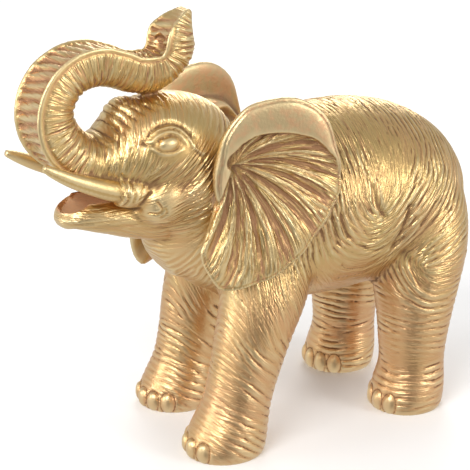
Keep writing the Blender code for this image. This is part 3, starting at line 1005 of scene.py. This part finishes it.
BODY_CREASES = (
    (1.5, 1.5, ((53.5, 84.9), (52.2, 79.8), (50.6, 75.1), (48.6, 69.8))),
    (1.0, 0.7, ((56, 80.9), (54.2, 76.5), (51.3, 71.7))),
    (1.0, 0.6, ((66.3, 84.6), (63.2, 81), (59.6, 77.2))),
    (2.4, 1.1, ((55, 65.2), (58.1, 60.1), (59.9, 54))),
    (1.0, 0.8, ((38.1, 94.8), (38.6, 89.8), (40.1, 86.5), (42, 83.6))),
    (1.1, 0.8, ((20.4, 86), (21.2, 81), (23, 76))),
    (1.1, 0.8, ((24, 87), (25, 82), (26.6, 78))),
    (0.7, 0.3, ((33.2, 79.1), (36.5, 76), (41.1, 76.8))),
    (0.7, 0.4, ((32.3, 74.9), (36.7, 70.7), (42.4, 70), (47.4, 72.2), (50.6, 75.1))),
    (0.7, 0.4, ((26.8, 65.7), (30.4, 63.4), (36.9, 62.7), (44, 64.3), (49.8, 66.8))),
    (0.7, 0.3, ((28.4, 59.4), (38.4, 59.7), (46.3, 62.7))),
)
CREASE_STEPS = 6
BODY_BEHIND, BODY_BEYOND = -20, 20
on_side = (outside > FACING_SIDE) & (x > BODY_BEHIND) & (np.abs(y) > BODY_BEYOND) & ~on_ear
for creases, part in ((CREASES, on_head_side), (BODY_CREASES, on_side)):
    for width, deep, rows in creases:
        gap = np.full(len(points), np.inf)
        for line_x, line_z in smooth_rows(rows, CREASE_STEPS):
            gap = np.minimum(gap, (x - line_x) ** 2 + (z - line_z) ** 2)
        cut(part * deep * np.exp(-gap / width**2))
(hollow_x, hollow_z), radius, deep = TUSK_HOLLOW
gap = (x - hollow_x) ** 2 + (z - hollow_z) ** 2
cut(on_head_side * deep * np.exp(-gap / radius**2))

# Ears, tusks and nails: a line runs inside the ear's rim and along the outside of each tusk, and two
# grooves go round each toenail. Each line's place and width, and its depth.
EAR_LINE, EAR_LINE_DEPTH = (1.4, 0.45), 0.4
TUSK_LINE, TUSK_LINE_DEPTH = (-0.35, 0.14), 0.35
NAIL_LINES = (((1.25, 0.1), 0.45), ((0.84, 0.08), 0.25))
cut(ear_front * line_where(from_rim, *EAR_LINE) * EAR_LINE_DEPTH)
cut(on_tusk * (outside > 0) * line_where(tusk_high, *TUSK_LINE) * TUSK_LINE_DEPTH)
for nail_line, deep in NAIL_LINES:
    cut(line_where(nail_gap, *nail_line) * deep)

# The soles are cut flat, then the whole is put where the solid is and kept inside its box.
SOLID_SHIFT = (-5.98, -1.05)
points[:, 2] = np.maximum(points[:, 2], 0)
points[:, :2] += SOLID_SHIFT
points = np.clip(points * MM, *(np.array(corner) for corner in cad_box))

# What the paint reads from the skin: a painted shade value, high where the skin is hollow and in the valleys
# of the ear's pleats, where it is left plain, the comb's way, and on the trunk and ears how far one is across
# the comb's way.
HOLLOW_RANGE = 0.35
HOLLOW_STEPS = (2, 8)
EAR_STRANDS = 36.0
PAINTED_PLEAT_SHADE = 0.13
# Painted shade on the back, and painted light on the chest and the cheek.
PAINTED_BACK_SHADE, PAINTED_BACK_SHADE_ABOVE = 0.12, (92, 106)
PAINTED_FRONT_LIGHT, CHEEK_OVAL = 0.1, ((-36, 92), (13, 12), (0.7, 1.2))
CALM = 0.6
SMOOTH_RIM = (0.5, 0.56)
NAIL_SMOOTH = 1.1
normals = normals_of(points)
soft = points
# Painted shade: how hollow the skin is, measured against smoothed copies of it, is kept to darken the paint
# there.
painted_shade = np.zeros(len(points))
for step in range(1, HOLLOW_STEPS[-1] + 1):
    soft = np.stack([gather(evens * soft[there, axis]) for axis in range(3)], 1)
    if step in HOLLOW_STEPS:
        painted_shade += ((soft - points) * normals).sum(axis=1) / MM
# More painted shade in the valleys of the ear's pleats.
painted_shade += (ear_front & ~on_band) * np.maximum(-ear_folds(ear_angle, ear_share), 0) * PAINTED_PLEAT_SHADE
# Painted light makes the chest and the cheek paler, and painted shade makes the back darker.
painted_shade += PAINTED_BACK_SHADE * smoothstep(*PAINTED_BACK_SHADE_ABOVE, z) * smoothstep(*BACK_BEHIND, x)
painted_shade -= PAINTED_FRONT_LIGHT * np.maximum(on_chest, in_oval(*CHEEK_OVAL))
plain = np.clip(on_band + on_tusk + ear_behind + near_eye + (nail_gap < NAIL_SMOOTH) + in_mouth, 0, 1)
for calm in (on_leg, on_chest, on_flank, near_mouth):
    plain = np.maximum(plain, CALM * calm)
plain = np.maximum(plain, on_trunk * smoothstep(*SMOOTH_RIM, trunk_high) * (1 - in_channel))
paint_reads = {
    "painted_shade": np.clip(0.5 + painted_shade / (2 * HOLLOW_RANGE), 0, 1),
    "plain": plain,
    "on_band": (on_band | ear_behind).astype(float),
    "comb_cos": np.cos(2 * lean),
    "comb_sin": np.sin(2 * lean),
    "strand": np.where(on_ear, ear_turn(ear_angle, ear_share) * EAR_STRANDS, run) * MM,
    "stranded": np.maximum(on_trunk, on_ear),
    "channel": in_channel,
    "mouth": in_mouth.astype(float),
}
mesh.vertices.foreach_set("co", points.astype(np.float32).ravel())
for name, values in paint_reads.items():
    layer = mesh.attributes.new(name, "FLOAT", "POINT")
    layer.data.foreach_set("value", values.astype(np.float32))

TRIANGLES = 197000
fewer = casting.modifiers.new("Fewer faces", "DECIMATE")
fewer.ratio = TRIANGLES / (2 * len(corners))
apply_modifiers(casting)
casting.data.shade_smooth()

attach(casting, "root")
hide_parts("elephant_figurine")


# Gold paint: metallic lacquer brushed over the resin, with a dark brown painted shade in the grooves,
# brighter on the rubbed ridges, and pinker low on the legs and under the belly as a painted warm reflection.
class Wire:
    """A node's output that takes part in sums, so that shader maths reads as maths."""

    def __init__(self, nodes, socket):
        self.nodes = nodes
        self.socket = socket

    def maths(self, operation, *values, clamp=False):
        """A Math node's output, from numbers or wires."""
        settings = {"operation": operation, "use_clamp": clamp}
        return self.nodes.add("ShaderNodeMath", settings, dict(enumerate(values)))

    def __add__(self, other):
        return self.maths("ADD", self, other)

    def __radd__(self, other):
        return self.maths("ADD", other, self)

    def __sub__(self, other):
        return self.maths("SUBTRACT", self, other)

    def __rsub__(self, other):
        return self.maths("SUBTRACT", other, self)

    def __mul__(self, other):
        return self.maths("MULTIPLY", self, other)

    def __rmul__(self, other):
        return self.maths("MULTIPLY", other, self)

    def __truediv__(self, other):
        return self.maths("DIVIDE", self, other)

    def clamped(self):
        """The value held between 0 and 1."""
        return self.maths("ADD", self, 0.0, clamp=True)


class Nodes:
    """The node tree of a material or of the room, to which nodes are added one call at a time."""

    def __init__(self, owner, shader):
        owner.use_nodes = True
        self.tree = owner.node_tree
        self.shader = self.tree.nodes[shader]

    def add(self, kind, settings=None, values=None, output=0):
        """A node of one kind, with its settings and then its sockets' values or links."""
        node = self.tree.nodes.new(kind)
        for key, value in (settings or {}).items():
            setattr(node, key, value)
        for key, value in (values or {}).items():
            self.plug(node.inputs[key], value)
        return Wire(self, node.outputs[output])

    def plug(self, socket, value):
        """Links a wire to a socket, or sets the socket's value."""
        if isinstance(value, Wire):
            self.tree.links.new(value.socket, socket)
        else:
            socket.default_value = value

    def noise(self, scale):
        """Noise over the piece, scale in waves for each metre."""
        place = self.add("ShaderNodeTexCoord", output=3)
        sockets = {"Vector": place, "Scale": scale, "Detail": NOISE_DETAIL, "Roughness": NOISE_ROUGHNESS}
        return self.add("ShaderNodeTexNoise", None, sockets)

    def lines(self, place):
        """Fine noise at a place that is already drawn out along the lines."""
        return self.add("ShaderNodeTexNoise", None, {"Vector": place, "Scale": 1.0, "Detail": 1.0})

    def mix(self, share, first, second):
        """A colour between two, by a share from 0 to 1."""
        sockets = {0: share, 6: first, 7: second}
        return self.add("ShaderNodeMix", {"data_type": "RGBA"}, sockets, output=2)

    def fade(self, value, start, end, first=0.0, last=1.0):
        """A smooth change from first to last as a value goes from start to end."""
        sockets = {"Value": value, "From Min": start, "From Max": end, "To Min": first, "To Max": last}
        return self.add("ShaderNodeMapRange", {"interpolation_type": "SMOOTHSTEP"}, sockets)

    def attribute(self, name):
        """What was stored on the skin under a name."""
        return self.add("ShaderNodeAttribute", {"attribute_name": name}, output=2)


GOLD = (0.62, 0.41, 0.17, 1.0)
OLIVE_GOLD = (0.5, 0.39, 0.16, 1.0)
PALE_GOLD = (0.8, 0.64, 0.36, 1.0)
COPPER = (0.68, 0.37, 0.2, 1.0)
# The dark brown is painted shade.
SHADE_BROWN = (0.14, 0.06, 0.02, 1.0)
BAND_GOLD = (0.53, 0.42, 0.25, 1.0)
LIT_MOUTH_COPPER = (0.85, 0.54, 0.32, 1.0)
COMB_WAYS = 8
COMB_NARROWNESS = 8.0
STRAND_WIDTH = 0.0007
STRAND_LENGTH = 0.011
STRAND_CONTRAST = 2.4
NOISE_DETAIL = 3.0
NOISE_ROUGHNESS = 0.55
PATCH_SCALE, GREEN_SCALE, BLOTCH_SCALE, GRAIN_SCALE = 38.0, 60.0, 300.0, 900.0
# Below this height the paint turns copper, a painted warm reflection.
REFLECTION_BELOW = (0.09, 0.02)
BUMP_STRENGTH = 0.9
BUMP_DEPTH = 0.0004
# The middle of each pattern's values. Then, tint by tint: how far it covers what is under it where it
# is full, the level it starts from and how much of each pattern goes into it.
MIDDLE = 0.5
GREEN_COVER, GREEN_FROM, GREEN_PATCHES, GREEN_LINES, GREEN_REFLECTION_LOW = 0.8, 0.75, 2.0, 0.7, 0.4
PINK_COVER, PINK_FROM, PINK_PATCHES, PINK_LINES, PINK_REFLECTION_LOW = 0.85, 0.55, 1.3, 0.7, 0.5
PINK_STRANDS, PINK_CHANNEL, PINK_PLEAT_SHADE = 0.9, 0.5, 1.6
BAND_COVER, BLOTCH_COVER, BLOTCH_FROM, BLOTCH_SPOTS, BLOTCH_PATCHES = 0.7, 0.6, 0.42, 5.0, 3.0
PALE_COVER, PALE_FROM, PALE_CRESTS, PALE_LINES = 0.8, 0.1, 2.0, 0.7
# The dark brown tint is painted shade in the hollows and the combed lines.
SHADE_COVER, SHADE_FROM, SHADE_HOLLOWS, SHADE_LINES_FROM, SHADE_LINES = 0.85, 0.62, 3.0, 0.42, 1.4
SHADE_GRAIN, SHADE_PATCHES, SHADE_OFF_STRANDS, MOUTH_COVER = 0.4, 0.8, 0.2, 0.7
GRAIN_RELIEF, SHADE_DULLS = 0.25, 0.5
SATIN, ROUGH_SHADE, ROUGH_GRAIN, ROUGH_PLAIN = 0.34, 0.3, 0.16, 0.08

gold_paint = bpy.data.materials.new("gold_paint")
paint = Nodes(gold_paint, "Principled BSDF")
place = paint.add("ShaderNodeTexCoord", output=3)
comb_cos = paint.attribute("comb_cos")
comb_sin = paint.attribute("comb_sin")
# Fine lines left by the comb, several to a ridge: noise drawn out along each of eight ways, of which
# each place takes the ways nearest to its own.
lines = shares = 0.0
for i in range(COMB_WAYS):
    way = math.pi * i / COMB_WAYS
    nearness = (comb_cos * math.cos(2 * way) + comb_sin * math.sin(2 * way)).clamped()
    share = nearness.maths("POWER", nearness, COMB_NARROWNESS)
    turned = {
        "Vector": place,
        "Rotation": (0.0, math.pi / 2 - way, 0.0),
        "Scale": (STRAND_WIDTH, STRAND_LENGTH, STRAND_LENGTH),
    }
    drawn = paint.add("ShaderNodeMapping", {"vector_type": "TEXTURE"}, turned)
    lines = lines + share * paint.lines(drawn)
    shares = shares + share
body_lines = lines / shares
# On the trunk and the ears the lines follow how far one is across them.
x_of = paint.add("ShaderNodeSeparateXYZ", None, {0: place}, output=0)
z_of = paint.add("ShaderNodeSeparateXYZ", None, {0: place}, output=2)
across = paint.attribute("strand") * (1 / STRAND_WIDTH)
unrolled = {0: across, 1: x_of * (1 / STRAND_LENGTH), 2: z_of * (1 / STRAND_LENGTH)}
ring_lines = paint.lines(paint.add("ShaderNodeCombineXYZ", None, unrolled))
stranded = paint.attribute("stranded")
plain = paint.attribute("plain")
raw_lines = body_lines + stranded * (ring_lines - body_lines) - MIDDLE
combed = raw_lines * (1 - plain) * STRAND_CONTRAST + MIDDLE

# The base gold turns olive on crests, copper in the combed lines, low down and in patches, and is rubbed pale
# on the ridges; a dark brown painted shade lies in the hollows. The copper low down, with less olive there,
# is painted warm reflection, and painted light makes the chest and the cheek paler. The ears' bands and backs
# are greyer.
painted_shade = paint.attribute("painted_shade")
# Painted warm reflection: copper, with less olive, towards the bottom of the piece.
low = paint.fade(z_of, *REFLECTION_BELOW)
patches = paint.noise(PATCH_SCALE)
greens = paint.noise(GREEN_SCALE)
grain = paint.noise(GRAIN_SCALE)
pinkness = low * PINK_REFLECTION_LOW + patches * PINK_PATCHES - PINK_FROM
pinkness = pinkness + (MIDDLE - combed) * (stranded * PINK_STRANDS + PINK_LINES)
pinkness = pinkness + paint.attribute("channel") * PINK_CHANNEL
# Painted shade: copper in the hollows of the trunk and the ears.
pinkness = pinkness + stranded * (painted_shade - MIDDLE) * PINK_PLEAT_SHADE
greenness = greens * GREEN_PATCHES - GREEN_FROM - low * GREEN_REFLECTION_LOW + (combed - MIDDLE) * GREEN_LINES
colour = paint.mix(greenness.clamped() * GREEN_COVER, GOLD, OLIVE_GOLD)
colour = paint.mix(pinkness.clamped() * PINK_COVER, colour, COPPER)
on_band = paint.attribute("on_band")
blotches = (paint.noise(BLOTCH_SCALE) - BLOTCH_FROM) * BLOTCH_SPOTS + (patches - MIDDLE) * BLOTCH_PATCHES
colour = paint.mix(on_band * BAND_COVER, colour, BAND_GOLD)
colour = paint.mix(on_band * blotches.clamped() * BLOTCH_COVER, colour, COPPER)
# Pale gold on the crests and the combed lines is rubbed wear; where the shade value is lowered, on the chest
# and the cheek, it is painted light.
wear_and_painted_light = (MIDDLE - painted_shade) * PALE_CRESTS + (combed - MIDDLE) * PALE_LINES - PALE_FROM
colour = paint.mix(wear_and_painted_light.clamped() * PALE_COVER, colour, PALE_GOLD)
# Painted shade: dark brown, less metallic and rougher in the hollows and the combed lines' grooves, broken up
# by grain and patches, and thinner on the trunk and ears.
shade_mix = (painted_shade - SHADE_FROM) * SHADE_HOLLOWS + (SHADE_LINES_FROM - combed) * SHADE_LINES
shade_mix = shade_mix + (grain - MIDDLE) * SHADE_GRAIN + (patches - MIDDLE) * SHADE_PATCHES
shaded = shade_mix.clamped()
colour = paint.mix(shaded * (SHADE_COVER - stranded * SHADE_OFF_STRANDS), colour, SHADE_BROWN)
# Painted light: the copper inside of the mouth is painted paler than its shade would show.
colour = paint.mix(paint.attribute("mouth") * MOUTH_COVER, colour, LIT_MOUTH_COPPER)
height = combed + (grain - MIDDLE) * GRAIN_RELIEF
relief = {"Strength": BUMP_STRENGTH, "Distance": BUMP_DEPTH, "Height": height}
bump = paint.add("ShaderNodeBump", None, relief)
paint.plug(paint.shader.inputs["Base Color"], colour)
paint.plug(paint.shader.inputs["Metallic"], 1 - shaded * SHADE_DULLS)
roughness = SATIN + shaded * ROUGH_SHADE + (grain - MIDDLE) * ROUGH_GRAIN + plain * ROUGH_PLAIN
paint.plug(paint.shader.inputs["Roughness"], roughness)
paint.plug(paint.shader.inputs["Normal"], bump)
casting.data.materials.clear()
casting.data.materials.append(gold_paint)

# Floor. A plain pale tabletop, matt and without a mark, wide enough to fill the picture behind the
# figurine. It isn't seen in the gold's reflections, as the photo's white ground isn't.
FLOOR_RADIUS = 3.0
FLOOR_SIDES = 96
FLOOR_COLOUR = (0.93, 0.93, 0.93, 1.0)
FLOOR_ROUGHNESS = 0.8
bm = bmesh.new()
bmesh.ops.create_circle(bm, cap_ends=True, segments=FLOOR_SIDES, radius=FLOOR_RADIUS)
floor = object_of(bm, "floor")
floor_paint = bpy.data.materials.new("floor_paint")
ground = Nodes(floor_paint, "Principled BSDF")
ground.plug(ground.shader.inputs["Base Color"], FLOOR_COLOUR)
ground.plug(ground.shader.inputs["Roughness"], FLOOR_ROUGHNESS)
floor.data.materials.append(floor_paint)
floor.visible_glossy = False

# Camera. It looks as the photo was taken, from the front left and above, from well back. Metres and
# degrees, with the focal length in the picture's own pixels.
TARGET = Vector((SOLID_SHIFT[0] * MM, 0.0, 0.073))
AZIMUTH, ELEVATION = math.radians(-30.8), math.radians(19.2)
DISTANCE = 0.65
FOCAL_PIXELS = 1745.0
PICTURE_PIXELS = 470
SENSOR = 36.0
lens = bpy.data.cameras.new("camera")
lens.sensor_width = SENSOR
lens.lens = FOCAL_PIXELS * SENSOR / PICTURE_PIXELS
camera = bpy.data.objects.new("camera", lens)
level = math.cos(ELEVATION)
back = Vector((math.sin(AZIMUTH) * level, -math.cos(AZIMUTH) * level, math.sin(ELEVATION)))
camera.location = TARGET + back * DISTANCE
camera.rotation_euler = back.to_track_quat("Z", "Y").to_euler()
bpy.context.scene.collection.objects.link(camera)
bpy.context.scene.camera = camera

# Light. Four round soft boxes stand in a pale room: a large one above and in front, two weaker ones
# at the sides and one behind. The room is a little darker overhead and dark behind the camera, which
# gives the gold its shaded reflections. Each box has its place and width in metres, and its watts.
SOFT_BOXES = {
    "key": ((-0.8, -0.5, 0.8), 0.7, 8.5),
    "side": ((-0.9, 0.25, 0.25), 0.4, 2.0),
    "fill": ((0.6, -0.9, 0.45), 0.5, 4.0),
    "back": ((0.5, 0.7, 0.6), 0.5, 3.0),
}
ROOM_COLOUR = (1.0, 1.0, 1.0, 1.0)
ROOM_HEIGHTS, ROOM_BRIGHTNESS = (0.05, 0.75), (0.86, 0.6)
DARK_SIDE = (-0.5, -0.85, -0.15)
DARK_FACING, DARK_SHARES = (0.8, 0.97), (1.0, 0.25)
for name, (place, size, power) in SOFT_BOXES.items():
    lamp = bpy.data.lights.new(name, "AREA")
    lamp.shape = "DISK"
    lamp.size = size
    lamp.energy = power
    soft_box = bpy.data.objects.new(name, lamp)
    soft_box.location = place
    soft_box.rotation_euler = (TARGET - soft_box.location).to_track_quat("-Z", "Y").to_euler()
    bpy.context.scene.collection.objects.link(soft_box)
room = bpy.data.worlds.new("room")
air = Nodes(room, "Background")
way = air.add("ShaderNodeTexCoord")
height = air.add("ShaderNodeSeparateXYZ", None, {0: way}, output=2)
facing = air.add("ShaderNodeVectorMath", {"operation": "DOT_PRODUCT"}, {0: way, 1: DARK_SIDE}, output=1)
bright = air.fade(height, *ROOM_HEIGHTS, *ROOM_BRIGHTNESS)
dark = air.fade(facing, *DARK_FACING, *DARK_SHARES)
air.plug(air.shader.inputs["Color"], ROOM_COLOUR)
air.plug(air.shader.inputs["Strength"], bright * dark)
bpy.context.scene.world = room
bpy.context.scene.view_settings.view_transform = "Standard"
